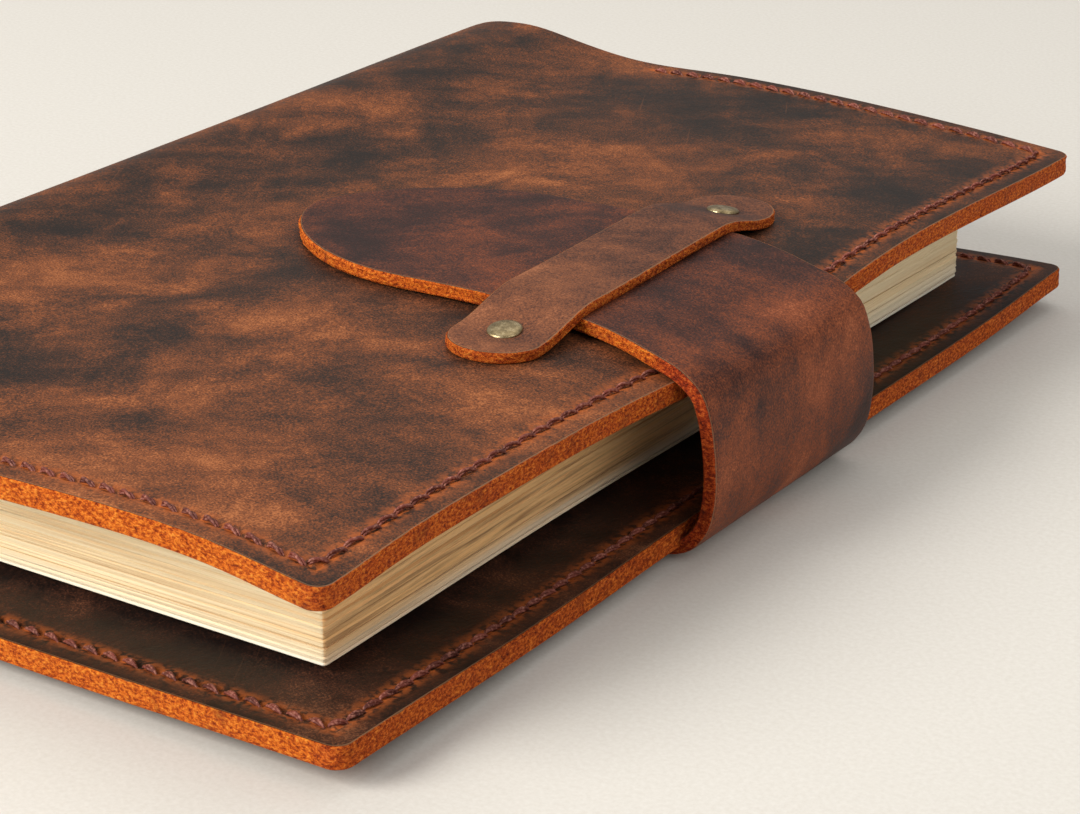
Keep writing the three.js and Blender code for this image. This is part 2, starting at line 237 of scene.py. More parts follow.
# Each palette runs from the darkest wax to the most rubbed leather.
TONE_STOPS = (0.26, 0.42, 0.54, 0.70, 0.90)
COVER_PALETTE = (
    (0.014, 0.0090, 0.0070), (0.042, 0.0180, 0.0100), (0.098, 0.0345, 0.0155),
    (0.21, 0.064, 0.0225), (0.42, 0.145, 0.050),
)
POCKET_PALETTE = (
    (0.008, 0.005, 0.005), (0.015, 0.008, 0.006), (0.029, 0.0125, 0.0085),
    (0.064, 0.024, 0.0135), (0.18, 0.070, 0.034),
)
TONGUE_PALETTE = (
    (0.023, 0.010, 0.0085), (0.058, 0.0185, 0.0125), (0.112, 0.034, 0.0175),
    (0.215, 0.056, 0.022), (0.38, 0.115, 0.048),
)
KEEPER_PALETTE = (
    (0.035, 0.015, 0.010), (0.078, 0.028, 0.016), (0.140, 0.050, 0.025),
    (0.215, 0.076, 0.034), (0.36, 0.135, 0.062),
)
HALO_COLOR = (0.46, 0.115, 0.026)
RIM_COLOR = (0.36, 0.19, 0.095)
EDGE_STAIN = (0.14, 0.026, 0.009)


def leather(name, palette, tone_shift=0.0, edge_light=1.0, edge_red=0.0):
    """Waxed pull-up leather: wax rubbed away in clouds, a fine nap, scratches and raw edges, with
    painted shade on the raw edges along the fore edge.
    """
    s = Shader(name)
    clouds = s.noise(46, detail=5, rough=0.58, distort=0.5)
    patches = s.noise(15, detail=4, rough=0.6, distort=0.8)
    streaks = s.noise((26, 7, 12), detail=4, rough=0.6, turn=math.radians(35))
    tone = s.times(clouds, 1.15)
    tone = s.scaled(patches, 0.62, tone)
    tone = s.scaled(streaks, 0.38, tone)
    tone = s.plus(tone, s.attribute("tone"))
    tone = s.plus(tone, tone_shift - 0.575)
    nap = s.noise(0.36, detail=2, rough=0.7)
    speckle = s.noise(1.5, detail=3, rough=0.7)
    tone = s.scaled(s.minus(nap, 0.5), 0.95, tone)
    tone = s.scaled(s.minus(speckle, 0.5), 0.26, tone)
    color = s.ramp(tone, list(zip(TONE_STOPS, palette)))

    scratch = s.noise((60, 0.55, 3), detail=1, rough=0.4, distort=0.25, turn=math.radians(-62))
    scratch = s.band(scratch, 0.70, 0.76)
    scratch = s.times(scratch, s.band(s.noise(17, detail=1), 0.52, 0.62))
    color = s.mix(s.times(scratch, 0.12), color, palette[4])

    halo = s.attribute("halo")
    halo = s.times(halo, s.band(s.noise(1.3, detail=2), 0.36, 0.60))
    color = s.mix(s.times(halo, 0.9), color, HALO_COLOR)

    edge = s.attribute("edge")
    fibre = s.noise((0.75, 0.75, 0.48), detail=4, rough=0.78)
    raw = s.ramp(fibre, [
        (0.32, (0.13, 0.014, 0.003)),
        (0.43, (0.42 * edge_light, 0.062 * edge_light, 0.006)),
        (0.54, (0.78 * edge_light, 0.175 * edge_light, 0.014)),
        (0.68, (0.95 * edge_light, 0.37 * edge_light, 0.05)),
    ])
    # A darker, redder raw colour, used for random red clumps and for the painted shade on the raw
    # edges along the fore edge.
    red = s.ramp(fibre, [
        (0.32, (0.050, 0.006, 0.003)), (0.43, (0.20, 0.020, 0.005)),
        (0.54, (0.48, 0.058, 0.009)), (0.68, (0.78, 0.20, 0.035)),
    ])
    # Painted shade: the raw edges along the fore edge face away from the light, so they are
    # painted darker and redder.
    fore_edge_shade = s.band(s.axis("X"), 66, 71)
    clumps = s.noise((3.2, 3.2, 1.6), detail=3, rough=0.6)
    redness_and_fore_shade = s.scaled(clumps, 0.7, edge_red - 0.48)
    redness_and_fore_shade = s.scaled(fore_edge_shade, 0.62, redness_and_fore_shade)
    raw = s.mix(s.band(redness_and_fore_shade, 0.0, 1.0), raw, red)
    stain = s.noise(6, detail=3, rough=0.6)
    raw = s.mix(s.times(s.band(stain, 0.56, 0.72), 0.5), raw, EDGE_STAIN)
    worn = s.scaled(s.minus(s.noise(2.2, detail=3), 0.5), 0.9, edge)
    rim = s.times(s.band(edge, 0.12, 0.30), 0.55)
    color = s.mix(rim, color, RIM_COLOR)
    color = s.mix(s.band(worn, 0.46, 0.72), color, raw)
    s.set("Base Color", color)

    rough = s.scaled(s.band(tone, 0.3, 0.8), 0.16, 0.46)
    rough = s.scaled(s.band(edge, 0.4, 0.7), 0.3, rough, clamp=True)
    s.set("Roughness", rough)
    s.set("Specular IOR Level", 0.15)

    grain = s.scaled(s.cells(0.9), 0.55, s.times(nap, 0.6))
    creases = s.noise((9, 4, 6), detail=4, rough=0.6, distort=1.0, turn=math.radians(70))
    normal = s.bump(grain, 0.09 * MM, 0.5)
    normal = s.bump(creases, 0.5 * MM, 0.25, under=normal)
    fray = s.times(fibre, s.band(edge, 0.3, 0.8))
    normal = s.bump(fray, 0.9 * MM, 0.9, under=normal)
    s.set("Normal", normal)
    return s.material


def waxed_thread():
    s = Shader("waxed_thread")
    wear = s.noise(5, detail=2)
    painted_highlight_flecks = s.noise((0.5, 0.5, 0.5), detail=2)
    color = s.ramp(wear, [(0.35, (0.075, 0.015, 0.010)), (0.65, (0.20, 0.045, 0.029))])
    # Painted highlight: pink-tan flecks stand in for light caught on the waxed strands.
    color = s.mix(s.times(s.band(painted_highlight_flecks, 0.46, 0.68), 0.6), color, (0.46, 0.19, 0.135))
    s.set("Base Color", color)
    s.set("Roughness", 0.55)
    s.set("Specular IOR Level", 0.3)
    s.set("Normal", s.bump(s.noise((0.12, 0.12, 0.6), detail=2), 0.08 * MM, 0.7))
    return s.material


def antique_brass():
    s = Shader("antique_brass")
    tarnish = s.noise(1.6, detail=5, rough=0.65)
    color = s.ramp(tarnish, [
        (0.30, (0.10, 0.075, 0.042)),
        (0.48, (0.30, 0.225, 0.115)),
        (0.68, (0.52, 0.42, 0.25)),
    ])
    s.set("Base Color", color)
    s.set("Metallic", 0.92)
    s.set("Roughness", s.scaled(tarnish, -0.35, 0.52, clamp=True))
    scuff = s.noise((1.6, 0.09, 1), detail=2, turn=math.radians(25))
    s.set("Normal", s.bump(scuff, 0.05 * MM, 0.5))
    return s.material


def paper(name, pale, toned, streak, page):
    """Uncoated paper at its cut edge: a fine line for each leaf, stains along the fore edge, faded
    out at the far end to paint light there.
    """
    s = Shader(name)
    leaf = s.noise((38, 38, 0.16), detail=3, rough=0.6)
    gather = s.noise((90, 90, 1.3), detail=3, rough=0.5)
    tone = s.scaled(gather, 0.45, s.times(leaf, 0.65))
    color = s.ramp(tone, [(0.34, streak), (0.50, toned), (0.68, pale)])
    fore = s.attribute("fore")
    drag = s.noise((4, 42, 0.9), detail=5, rough=0.62, distort=0.4)
    # Handling stains on the fore face, faded out towards the far end so that the far end is left
    # lighter: painted light there.
    stain_and_painted_far_light = s.times(fore, s.band(s.axis("Y"), 60, -20))
    color = s.mix(s.times(stain_and_painted_far_light, 0.75), color, (0.95, 0.53, 0.20))
    stain = s.times(s.band(drag, 0.44, 0.66), stain_and_painted_far_light)
    color = s.mix(s.times(stain, 0.8), color, (0.36, 0.19, 0.085))
    lowest = s.band(s.scaled(gather, 3.0, s.axis("Z")), 14, 10.5)
    color = s.mix(s.times(lowest, 0.6), color, (0.98, 0.90, 0.72))
    color = s.mix(s.times(s.attribute("page"), 0.93), color, page)
    s.set("Base Color", color)
    s.set("Roughness", 0.85)
    s.set("Specular IOR Level", 0.2)
    normal = s.bump(leaf, 0.22 * MM, 0.8)
    normal = s.bump(gather, 0.3 * MM, 0.25, under=normal)
    s.set("Normal", normal)
    return s.material


def board_card():
    s = Shader("board_card")
    fleck = s.noise(0.8, detail=3, rough=0.7)
    stops = [(0.35, (0.016, 0.014, 0.013)), (0.7, (0.045, 0.04, 0.036))]
    s.set("Base Color", s.ramp(fleck, stops))
    s.set("Roughness", 0.8)
    s.set("Normal", s.bump(fleck, 0.06 * MM, 0.6))
    return s.material


def pale_floor():
    s = Shader("pale_floor")
    cloth = s.noise(0.9, detail=3, rough=0.6)
    s.set("Base Color", s.ramp(cloth, [(0.3, (0.66, 0.635, 0.59)), (0.7, (0.72, 0.70, 0.66))]))
    s.set("Roughness", 0.9)
    s.set("Specular IOR Level", 0.2)
    return s.material


FINISH = {
    "cover_leather": leather("cover_leather", COVER_PALETTE),
    "pocket_leather": leather("pocket_leather", POCKET_PALETTE),
    "tongue_leather": leather("tongue_leather", TONGUE_PALETTE, edge_light=1.12, edge_red=0.45),
    "keeper_leather": leather("keeper_leather", KEEPER_PALETTE, tone_shift=0.05, edge_light=0.9,
                              edge_red=0.50),
    "waxed_thread": waxed_thread(),
    "antique_brass": antique_brass(),
    "paper": paper("paper", (1.0, 0.84, 0.56), (0.94, 0.72, 0.43), (0.76, 0.48, 0.23),
                   page=(0.80, 0.72, 0.54)),
    "white_paper": paper("white_paper", (1.0, 0.96, 0.86), (0.95, 0.89, 0.75), (0.80, 0.66, 0.48),
                         page=(0.84, 0.80, 0.70)),
    "board_card": board_card(),
    "floor": pale_floor(),
}


# ---- mesh helpers ----

RNG = np.random.default_rng(7)
LEAN_FORE, LEAN_HEAD = 1.5 * MM, 1.2 * MM
LEAVES_LEAN = 1.4


def smoothstep(value, low, high):
    t = np.clip((value - low) / (high - low), 0, 1)
    return t * t * (3 - 2 * t)


def lean(points, amount):
    """Towards its near corner the lower half stands a little forward of the front cover."""
    points = np.array(points, float)
    x, y = points[:, 0].copy(), points[:, 1]
    near = smoothstep(-y, 0.015, HALF) * amount
    points[:, 0] += LEAN_FORE * near * smoothstep(x, SPINE_X + 0.010, FORE_X - 0.020)
    points[:, 1] += LEAN_HEAD * near * smoothstep(x, SPINE_X + 0.004, SPINE_X + 0.030)
    return points


def make_piece(name, points, faces, slot, body=None, replaces=(), marks=None, sharp=35):
    """A mesh object that keeps each point's place at rest, and any named marks, for its finish."""
    if name.endswith("_leaves"):
        points = lean(points, LEAVES_LEAN)
    elif name.startswith(("back_", "cover_leather_back")):
        points = lean(points, 1.0)
    mesh = bpy.data.meshes.new(name)
    mesh.from_pydata([tuple(p) for p in points], [], [tuple(int(i) for i in f) for f in faces])
    mesh.update()
    rest = mesh.attributes.new("rest", "FLOAT_VECTOR", "POINT")
    rest.data.foreach_set("vector", np.asarray(points, np.float32).ravel())
    for mark, values in (marks or {}).items():
        layer = mesh.attributes.new(mark, "FLOAT", "POINT")
        layer.data.foreach_set("value", np.asarray(values, np.float32))
    mesh.shade_smooth()
    mesh.set_sharp_from_angle(angle=math.radians(sharp))
    piece = bpy.data.objects.new(name, mesh)
    bpy.context.scene.collection.objects.link(piece)
    mesh.materials.append(FINISH[slot])
    if replaces:
        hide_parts(*replaces)
    if body:
        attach(piece, body)
    return piece


def distances(points):
    """How far along an open line each of its points is."""
    return np.r_[0, np.cumsum(np.linalg.norm(np.diff(points, axis=0), axis=1))]


def evenly(points, steps):
    """The points that part an open line into a number of equal steps."""
    points = np.asarray(points, float)
    lengths = distances(points)
    at = np.linspace(0, lengths[-1], steps + 1)
    return np.stack([np.interp(at, lengths, column) for column in points.T], 1)


def resample(points, step):
    """Points at an even step along an open line."""
    lengths = distances(points)
    return evenly(points, max(1, int(round(lengths[-1] / step))))


def smooth_curve(points, step):
    """A smooth open curve through a few points (centripetal Catmull-Rom), sampled at a step."""
    def between(t, start, end, a, b):
        return (end - t) / (end - start) * a + (t - start) / (end - start) * b

    p = np.asarray(points, float)
    p = np.vstack([2 * p[0] - p[1], p, 2 * p[-1] - p[-2]])
    knots = np.r_[0, np.cumsum(np.sqrt(np.linalg.norm(np.diff(p, axis=0), axis=1)))]
    dense = []
    for i in range(1, len(p) - 2):
        t0, t1, t2, t3 = knots[i - 1:i + 3]
        t = np.linspace(t1, t2, 24, endpoint=False)[:, None]
        a1 = between(t, t0, t1, p[i - 1], p[i])
        a2 = between(t, t1, t2, p[i], p[i + 1])
        a3 = between(t, t2, t3, p[i + 1], p[i + 2])
        dense.append(between(t, t1, t2, between(t, t0, t2, a1, a2), between(t, t1, t3, a2, a3)))
    dense.append(p[-2][None])
    return resample(np.vstack(dense), step)


EDGE_MARK = 0.5 * MM  # how far in from its cut edge a sheet is marked as edge
END_REACH = 0.12  # the share of a sheet's length over which its rows take up the shape of its end


class Sheet:
    """A closed sheet between an outer and an inner face, cut to a rounded outline.

    outline is a closed loop of points in the sheet's own flat plan, running anticlockwise from one
    corner through nu, nv, nu and nv steps. outer and inner turn plan points into places. rings
    are (inset, share) pairs: how far in from the cut edge, and how deep below the face there, as a
    share of the thickness. The inside of the last ring is filled by a regular grid.
    """

    def __init__(self, outline, nu, nv, outer, inner, rings, edge_shares, push, outer_dip=None,
                 inner_dip=None, outer_soft=1, inner_soft=1):
        self.outer, self.inner = outer, inner
        inset_outline = outline if callable(outline) else None
        outline = inset_outline(0) if inset_outline else outline
        count = len(outline)
        along = np.roll(outline, -1, 0) - outline
        along /= np.linalg.norm(along, axis=1)[:, None]
        out_next = np.stack([along[:, 1], -along[:, 0]], 1)
        out_last = np.roll(out_next, 1, 0)
        outward = (out_next + out_last) / (1 + (out_next * out_last).sum(1))[:, None]
        if inset_outline:
            loops = [inset_outline(inset) for inset, _ in rings]
        else:
            loops = [outline - outward * inset for inset, _ in rings]
        last = loops[-1]
        grid = self.coons(last, nu, nv)
        inside = grid[1:nu, 1:nv].reshape(-1, 2)
        plan = np.vstack(loops + [inside])
        share = np.r_[np.repeat([depth for _, depth in rings], count), np.zeros(len(inside))]
        ring_marks = np.interp([inset for inset, _ in rings], [0, EDGE_MARK], [1, 0])
        near = np.r_[np.repeat(ring_marks, count), np.zeros(len(inside))]
        faces = []
        step = np.arange(count)
        after = (step + 1) % count
        for ring in range(len(rings) - 1):
            a, b = ring * count, (ring + 1) * count
            faces.append(np.stack([a + step, a + after, b + after, b + step], 1))
        index = np.zeros((nu + 1, nv + 1), int)
        base = (len(rings) - 1) * count
        index[1:nu, 1:nv] = len(rings) * count + np.arange(len(inside)).reshape(nu - 1, nv - 1)
        index[:, 0] = base + np.arange(nu + 1)
        index[nu, :] = base + nu + np.arange(nv + 1)
        index[::-1, nv] = base + nu + nv + np.arange(nu + 1)
        index[0, ::-1] = base + (2 * nu + nv + np.arange(nv + 1)) % count
        faces.append(np.stack([
            index[:-1, :-1].ravel(), index[1:, :-1].ravel(), index[1:, 1:].ravel(),
            index[:-1, 1:].ravel(),
        ], 1))
        top = np.vstack(faces)
        total = len(plan)
        face_list = [top, top[:, ::-1] + total]
        rows = [step] + [2 * total + r * count + step for r in range(len(edge_shares))]
        rows.append(total + step)
        for upper, lower in zip(rows[:-1], rows[1:]):
            face_list.append(np.stack([upper, lower, lower[after], upper[after]], 1))
        self.faces = np.vstack(face_list)
        edge_plan = [outline + outward * push(r, step)[:, None] for r in range(len(edge_shares))]
        self.plan = np.vstack([plan, plan] + edge_plan)
        outer_share = share * outer_soft + (outer_dip(plan) if outer_dip else 0)
        inner_share = 1 - share * inner_soft - (inner_dip(plan) if inner_dip else 0)
        self.share = np.r_[outer_share, inner_share, np.repeat(edge_shares, count)]
        self.edge = np.r_[near, near, np.ones(count * len(edge_shares))]
        self.points = self.at(self.plan, self.share)

    @staticmethod
    def coons(loop, nu, nv):
        low, right = loop[:nu + 1], loop[nu:nu + nv + 1]
        high = loop[nu + nv:2 * nu + nv + 1][::-1]
        left = np.vstack([loop[2 * nu + nv:], loop[:1]])[::-1]
        u = np.linspace(0, 1, nu + 1)[:, None, None]
        v = np.linspace(0, 1, nv + 1)[None, :, None]
        across = (1 - v) * low[:, None] + v * high[:, None]
        at_start, at_end = 1 - smoothstep(u, 0, END_REACH), smoothstep(u, 1 - END_REACH, 1)
        start = left[None] - (1 - v) * low[0] - v * high[0]
        end = right[None] - (1 - v) * low[-1] - v * high[-1]
        return across + at_start * start + at_end * end

    def at(self, plan, share):
        a, b = self.outer(plan[:, 0], plan[:, 1]), self.inner(plan[:, 0], plan[:, 1])
        return a + (b - a) * share[:, None]

    def piece(self, name, slot, body=None, replaces=(), marks=None, between=None):
        """The sheet as a piece, or its part between two plan lines with its cut ends closed."""
        faces, points = self.faces, self.points
        layers = {"edge": self.edge, **{k: f(self) for k, f in (marks or {}).items()}}
        if between:
            middle = self.plan[faces, 0].mean(1)
            faces = faces[(middle > between[0]) & (middle < between[1])]
            used, faces = np.unique(faces, return_inverse=True)
            faces = faces.reshape(-1, 4)
            points = points[used]
            layers = {k: v[used] for k, v in layers.items()}
        made = make_piece(name, points, faces, slot, body, replaces, layers)
        if between:
            close_ends(made.data)
        return made


def close_ends(mesh):
    bm = bmesh.new()
    bm.from_mesh(mesh)
    rim = [e for e in bm.edges if e.is_boundary]
    filled = bmesh.ops.holes_fill(bm, edges=rim)["faces"]
    for face in filled:
        face.smooth = False
    for edge in rim:
        edge.smooth = False
    bm.to_mesh(mesh)
    bm.free()


def rounded_plan(u0, u1, half, radius0, radius1, step, arc_steps=8):
    """A rounded rectangle from u0 to u1 and -half to half, as an outline for any inset.

    Returns the outline, anticlockwise from its low corner, and its step counts.
    """
    long_steps = max(2, int(round((u1 - u0 - radius0 - radius1) / step)))
    short_steps = max(2, int(round((2 * half - radius0 - radius1) / step)))
    tight = 0.25 * MM  # the least radius that is left at a corner

    def arc(u, v, radius, start, stop):
        angles = np.radians(np.linspace(start, stop, arc_steps + 1))
        return np.stack([u + radius * np.cos(angles), v + radius * np.sin(angles)], 1)

    def side(first, last, steps):
        return np.linspace(first, last, steps + 1)

    def outline(inset):
        low_u, high_u, edge = u0 + inset, u1 - inset, half - inset
        r0, r1 = max(radius0 - inset, min(radius0, tight)), max(radius1 - inset, tight)
        low = [side((low_u + r0, -edge), (high_u - r1, -edge), long_steps)]
        left = [side((low_u, edge - r0), (low_u, r0 - edge), short_steps)]
        if radius0 > 0:
            low.insert(0, arc(low_u + r0, r0 - edge, r0, 225, 270)[:-1])
            left = [arc(low_u + r0, edge - r0, r0, 135, 180)[:-1], left[0],
                    arc(low_u + r0, r0 - edge, r0, 180, 225)[1:]]
        else:
            left = [side((low_u, edge), (low_u, -edge), short_steps + 2 * arc_steps)]
        low.append(arc(high_u - r1, r1 - edge, r1, 270, 315)[1:])
        right = [arc(high_u - r1, r1 - edge, r1, 315, 360)[:-1],
                 side((high_u, r1 - edge), (high_u, edge - r1), short_steps),
                 arc(high_u - r1, edge - r1, r1, 0, 45)[1:]]
        low, right, left = np.vstack(low), np.vstack(right), np.vstack(left)
        high = low[::-1] * [1, -1]
        return np.vstack([low[:-1], right[:-1], high[:-1], left[:-1]])

    nu = long_steps + (2 if radius0 > 0 else 1) * arc_steps
    return outline, nu, short_steps + 2 * arc_steps


def rough_edge(amount, nu, nv):
    """The small unevenness of a hand-cut edge: how far each place on each row stands out."""
    count = 2 * (nu + nv)
    wave = RNG.normal(size=(8, count))
    slow = RNG.normal(size=count)
    kernel = np.hanning(9) / np.hanning(9).sum()
    slow = np.convolve(np.r_[slow, slow, slow], kernel, "same")[count:2 * count]
    return lambda row, step: amount * (0.5 * wave[row] + 1.6 * slow)[step]


# ---- the cover's surface ----

def rise(x, y, bumps):
    """A sum of smooth swellings and hollows: (x, y, reach in x, reach in y, height)."""
    total = np.zeros(np.broadcast(x, y).shape)
    for cx, cy, rx, ry, height in bumps:
        total = total + height * np.exp(-((x - cx) / rx) ** 2 - ((y - cy) / ry) ** 2)
    return total


FRONT_BUMPS = [
    (FORE_X, -HALF, 0.016, 0.016, -0.0016),
    (FORE_X, 0.0, 0.013, 0.034, -0.0030),
    (FORE_X, HALF, 0.050, 0.042, -0.0023),
    (FORE_X, 0.046, 0.026, 0.022, 0.0003),
    (FORE_X - 0.038, -HALF, 0.026, 0.020, 0.0005),
    (FORE_X - 0.104, HALF, 0.020, 0.034, -0.0014),
    (SPINE_X + 0.012, HALF, 0.026, 0.070, 0.0022),
    (SPINE_X + 0.012, -HALF, 0.034, 0.100, -0.0022),
    (-0.055, -0.010, 0.060, 0.085, -0.0024),
    (FORE_X - 0.080, -HALF, 0.060, 0.040, -0.0013),
]
BACK_BUMPS = [
    (FORE_X, -HALF, 0.040, 0.035, 0.0009),
    (FORE_X, HALF, 0.030, 0.025, 0.0014),
    (FORE_X, -0.062, 0.020, 0.030, -0.0004),
]


PANEL_START = 30 * MM  # how far from mid spine the panels are surely flat


class CoverSurface:
    """The cover's outer face: back panel, round the spine, front panel. s = 0 at mid spine."""

    def __init__(self):
        spread = [
            (FORE_X, BACK_BOTTOM), (FORE_X - 0.05, BACK_BOTTOM), (FORE_X - 0.10, BACK_BOTTOM),
            (SPINE_X + 0.026, BACK_BOTTOM - 0.0004), (SPINE_X + 0.012, 0.0016),
            (SPINE_X + 0.004, 0.0034), (SPINE_X - 0.0006, 0.0090), (SPINE_X - 0.0019, 0.0190),
            (SPINE_X - 0.0010, 0.0285), (SPINE_X + 0.0024, 0.0342), (SPINE_X + 0.0095, 0.0374),
            (SPINE_X + 0.020, 0.0382), (SPINE_X + 0.036, 0.0376), (SPINE_X + 0.054, 0.0369),
            (SPINE_X + 0.080, 0.0365), (SPINE_X + 0.106, 0.0363), (FORE_X - 0.030, 0.0360),
            (FORE_X - 0.018, 0.0356), (FORE_X - 0.008, 0.0350), (FORE_X, 0.0344),
        ]
        curve = smooth_curve(spread, CURVE_STEP)
        self.x, self.z = curve.T
        lengths = distances(curve)
        from_middle = np.abs(self.z - MIDDLE_Z) + (self.x > SPINE_X + 0.02)
        self.s = lengths - lengths[np.argmin(from_middle)]
        self.first, self.last = self.s[0], self.s[-1]

    def s_at(self, x, side=1):
        """How far from mid spine the front panel (side 1) or the back one (-1) is over x."""
        panel = side * self.s > PANEL_START
        return np.interp(x, self.x[panel][::side], side * self.s[panel][::side])

    def point(self, s, y):
        x = np.interp(s, self.s, self.x)
        z = np.interp(s, self.s, self.z)
        front = smoothstep(s, 0.010, 0.045)
        back = smoothstep(-s, 0.010, 0.045)
        z = z + front * rise(x, y, FRONT_BUMPS) + back * rise(x, y, BACK_BUMPS)
        return np.stack([x, y + 0 * x, z], -1)

    def at(self, s, y, depth):
        h = 1.2 * MM  # the reach over which a slope is taken
        point = self.point(s, y)
        across = self.point(s, y + h) - self.point(s, y - h)
        along = self.point(s + h, y) - self.point(s - h, y)
        normal = np.cross(along, across)
        normal /= np.linalg.norm(normal, axis=-1)[..., None]
        depth = np.asarray(depth) * np.ones(np.shape(s))
        return point - normal * depth[..., None]


COVER = CoverSurface()


# ---- stitching ----

def stitch_holes():
    """The holes round a cover panel in plan: along the foot, the fore edge and the head."""
    x1, y1, r = FORE_X - STITCH_INSET, HALF - STITCH_INSET, 0.9 * MM
    turn = [(x1 - r + r * math.cos(a), -y1 + r + r * math.sin(a))
            for a in np.radians(np.linspace(-90, 0, 9))]
    path = [(STITCH_START, -y1)] + turn + [(x, -y) for x, y in turn[::-1]] + [(STITCH_START, y1)]
    return resample(path, STITCH_PITCH)


HOLES = stitch_holes()


GROOVE_DEPTH = 0.35 * MM
WORN_REACH, GROOVE_REACH = 1.5 * MM, 0.55 * MM
WORN_RUN, GROOVE_RUN = 3 * MM, 2 * MM


def near_stitches(x, y, reach, run):
    """1 on the stitch line, falling away on both sides over its reach, and before its start."""
    inset = np.minimum(FORE_X - x, HALF - np.abs(y)) - STITCH_INSET
    return np.exp(-(inset / reach) ** 2) * smoothstep(x, STITCH_START - run, STITCH_START)


def groove(side):
    """How deep the stitch line is drawn in on one cover panel, as a share of a ply."""
    def dip(plan):
        x = COVER.point(side * plan[:, 0], plan[:, 1])[:, 0]
        return near_stitches(x, plan[:, 1], GROOVE_REACH, GROOVE_RUN) * GROOVE_DEPTH / PLY
    return dip


def worn_beside_stitches(inner=False):
    """A mark on a sheet's outer or inner face where the stitches have worn off the wax."""
    def mark(sheet):
        face = sheet.share > 0.7 if inner else sheet.share < 0.3
        return near_stitches(sheet.points[:, 0], sheet.points[:, 1], WORN_REACH, WORN_RUN) * face
    return mark


def between_rings(first, second, count):
    """The faces between two rings of points, each ring given by its first point's number."""
    return [(first + k, first + (k + 1) % count, second + (k + 1) % count, second + k)
            for k in range(count)]


OFF_AXIS = np.array([0.31, 0.17, 0.93])  # a direction that no thread follows


def tube(centre, radius, sides):
    """Points and faces of a closed tube along a line of points."""
    along = np.gradient(centre, axis=0)
    along /= np.linalg.norm(along, axis=1)[:, None]
    side = np.cross(along, OFF_AXIS)
    side /= np.linalg.norm(side, axis=1)[:, None]
    other = np.cross(along, side)
    angles = np.linspace(0, 2 * math.pi, sides, endpoint=False)
    cos, sin = np.cos(angles)[None, :, None], np.sin(angles)[None, :, None]
    ring = side[:, None] * cos + other[:, None] * sin
    points = (centre[:, None] + ring * np.asarray(radius)[:, None, None]).reshape(-1, 3)
    faces = []
    for i in range(len(centre) - 1):
        faces += between_rings(i * sides, (i + 1) * sides, sides)
    start, end = len(points), len(points) + 1
    points = np.vstack([points, centre[:1], centre[-1:]])
    last = (len(centre) - 1) * sides
    for j in range(sides):
        k = (j + 1) % sides
        faces += [(start, k, j), (end, last + j, last + k)]
    return points, faces


STITCH_HEIGHT, STITCH_SINK, STITCH_SLANT = 0.30 * MM, 0.42 * MM, 0.42 * MM
PLY_RADIUS, PLY_OFFSET, PLY_TWIST, PLY_SIDES = 0.29 * MM, 0.22 * MM, 0.55, 6


def stitches(name, holes, place, body, replaces):
    """Saddle stitches of two-ply thread. place(x, y, up) is a point above the leather."""
    t = np.linspace(0, 1, 9)
    arch = np.sin(math.pi * t)
    rise_over = STITCH_HEIGHT * arch ** 0.55 - STITCH_SINK * (1 - arch ** 0.5)
    radius = PLY_RADIUS * (0.42 + 0.58 * arch ** 0.6)
    all_points, all_faces, base = [], [], 0
    for i in range(len(holes) - 1):
        a, b = holes[i], holes[i + 1]
        run = (b - a) / np.linalg.norm(b - a)
        side = np.array([-run[1], run[0]])
        wander = RNG.normal(0, 0.05 * MM, 2)
        line = a[None] + (b - a)[None] * (t * 0.90 + 0.05)[:, None]
        line = line + side[None] * ((0.5 - t) * 2 * STITCH_SLANT + wander[0])[:, None]
        for ply in range(2):
            turn = 2 * math.pi * (PLY_TWIST * t) + ply * math.pi + 0.6
            sideways = side[None] * (PLY_OFFSET * np.cos(turn))[:, None]
            points = place(line[:, 0] + sideways[:, 0], line[:, 1] + sideways[:, 1],
                           rise_over + PLY_OFFSET * np.sin(turn) + wander[1] * 0.5)
            p, f = tube(points, radius, PLY_SIDES)
            all_points.append(p)
            all_faces += [tuple(v + base for v in face) for face in f]
            base += len(p)
    make_piece(name, np.vstack(all_points), all_faces, "waxed_thread", body, replaces, sharp=80)


# ---- leather pieces ----

LEATHER_RINGS = [(0, 0.17), (0.15 * MM, 0.06), (0.5 * MM, 0.012), (1.1 * MM, 0), (2.4 * MM, 0)]
SEWN_RINGS = LEATHER_RINGS + [(inset * MM, 0) for inset in (3.6, 4.2, 4.6, 5.0, 5.6)]
EDGE_SHARES = (0.34, 0.5, 0.66)
PANEL_STEP = 2 * MM
PANEL_ROUGH = 0.09 * MM

# Rubbed and waxed clouds on the front: x, y, reach, lighter (+) or darker (-).
FRONT_CLOUDS = [
    (-0.037, -0.034, 0.016, 0.16), (-0.050, -0.006, 0.018, 0.10), (-0.032, -0.072, 0.024, 0.09),
    (-0.067, -0.019, 0.020, -0.14), (-0.075, 0.060, 0.024, -0.06), (-0.021, 0.083, 0.022, -0.16),
    (0.058, 0.076, 0.020, -0.12), (0.020, 0.060, 0.020, -0.10), (0.052, 0.052, 0.010, 0.06),
    (0.003, -0.046, 0.015, 0.08), (0.018, -0.064, 0.012, -0.09), (0.034, -0.030, 0.012, -0.10),
    (0.060, -0.070, 0.016, 0.06), (0.050, -0.108, 0.012, 0.03), (-0.020, 0.030, 0.020, 0.05),
    (0.000, 0.105, 0.026, -0.06), (-0.060, 0.100, 0.022, -0.10), (-0.002, -0.093, 0.016, 0.17),
    (-0.004, 0.082, 0.015, -0.17), (-0.019, -0.042, 0.006, 0.08), (-0.027, -0.014, 0.005, 0.07),
]


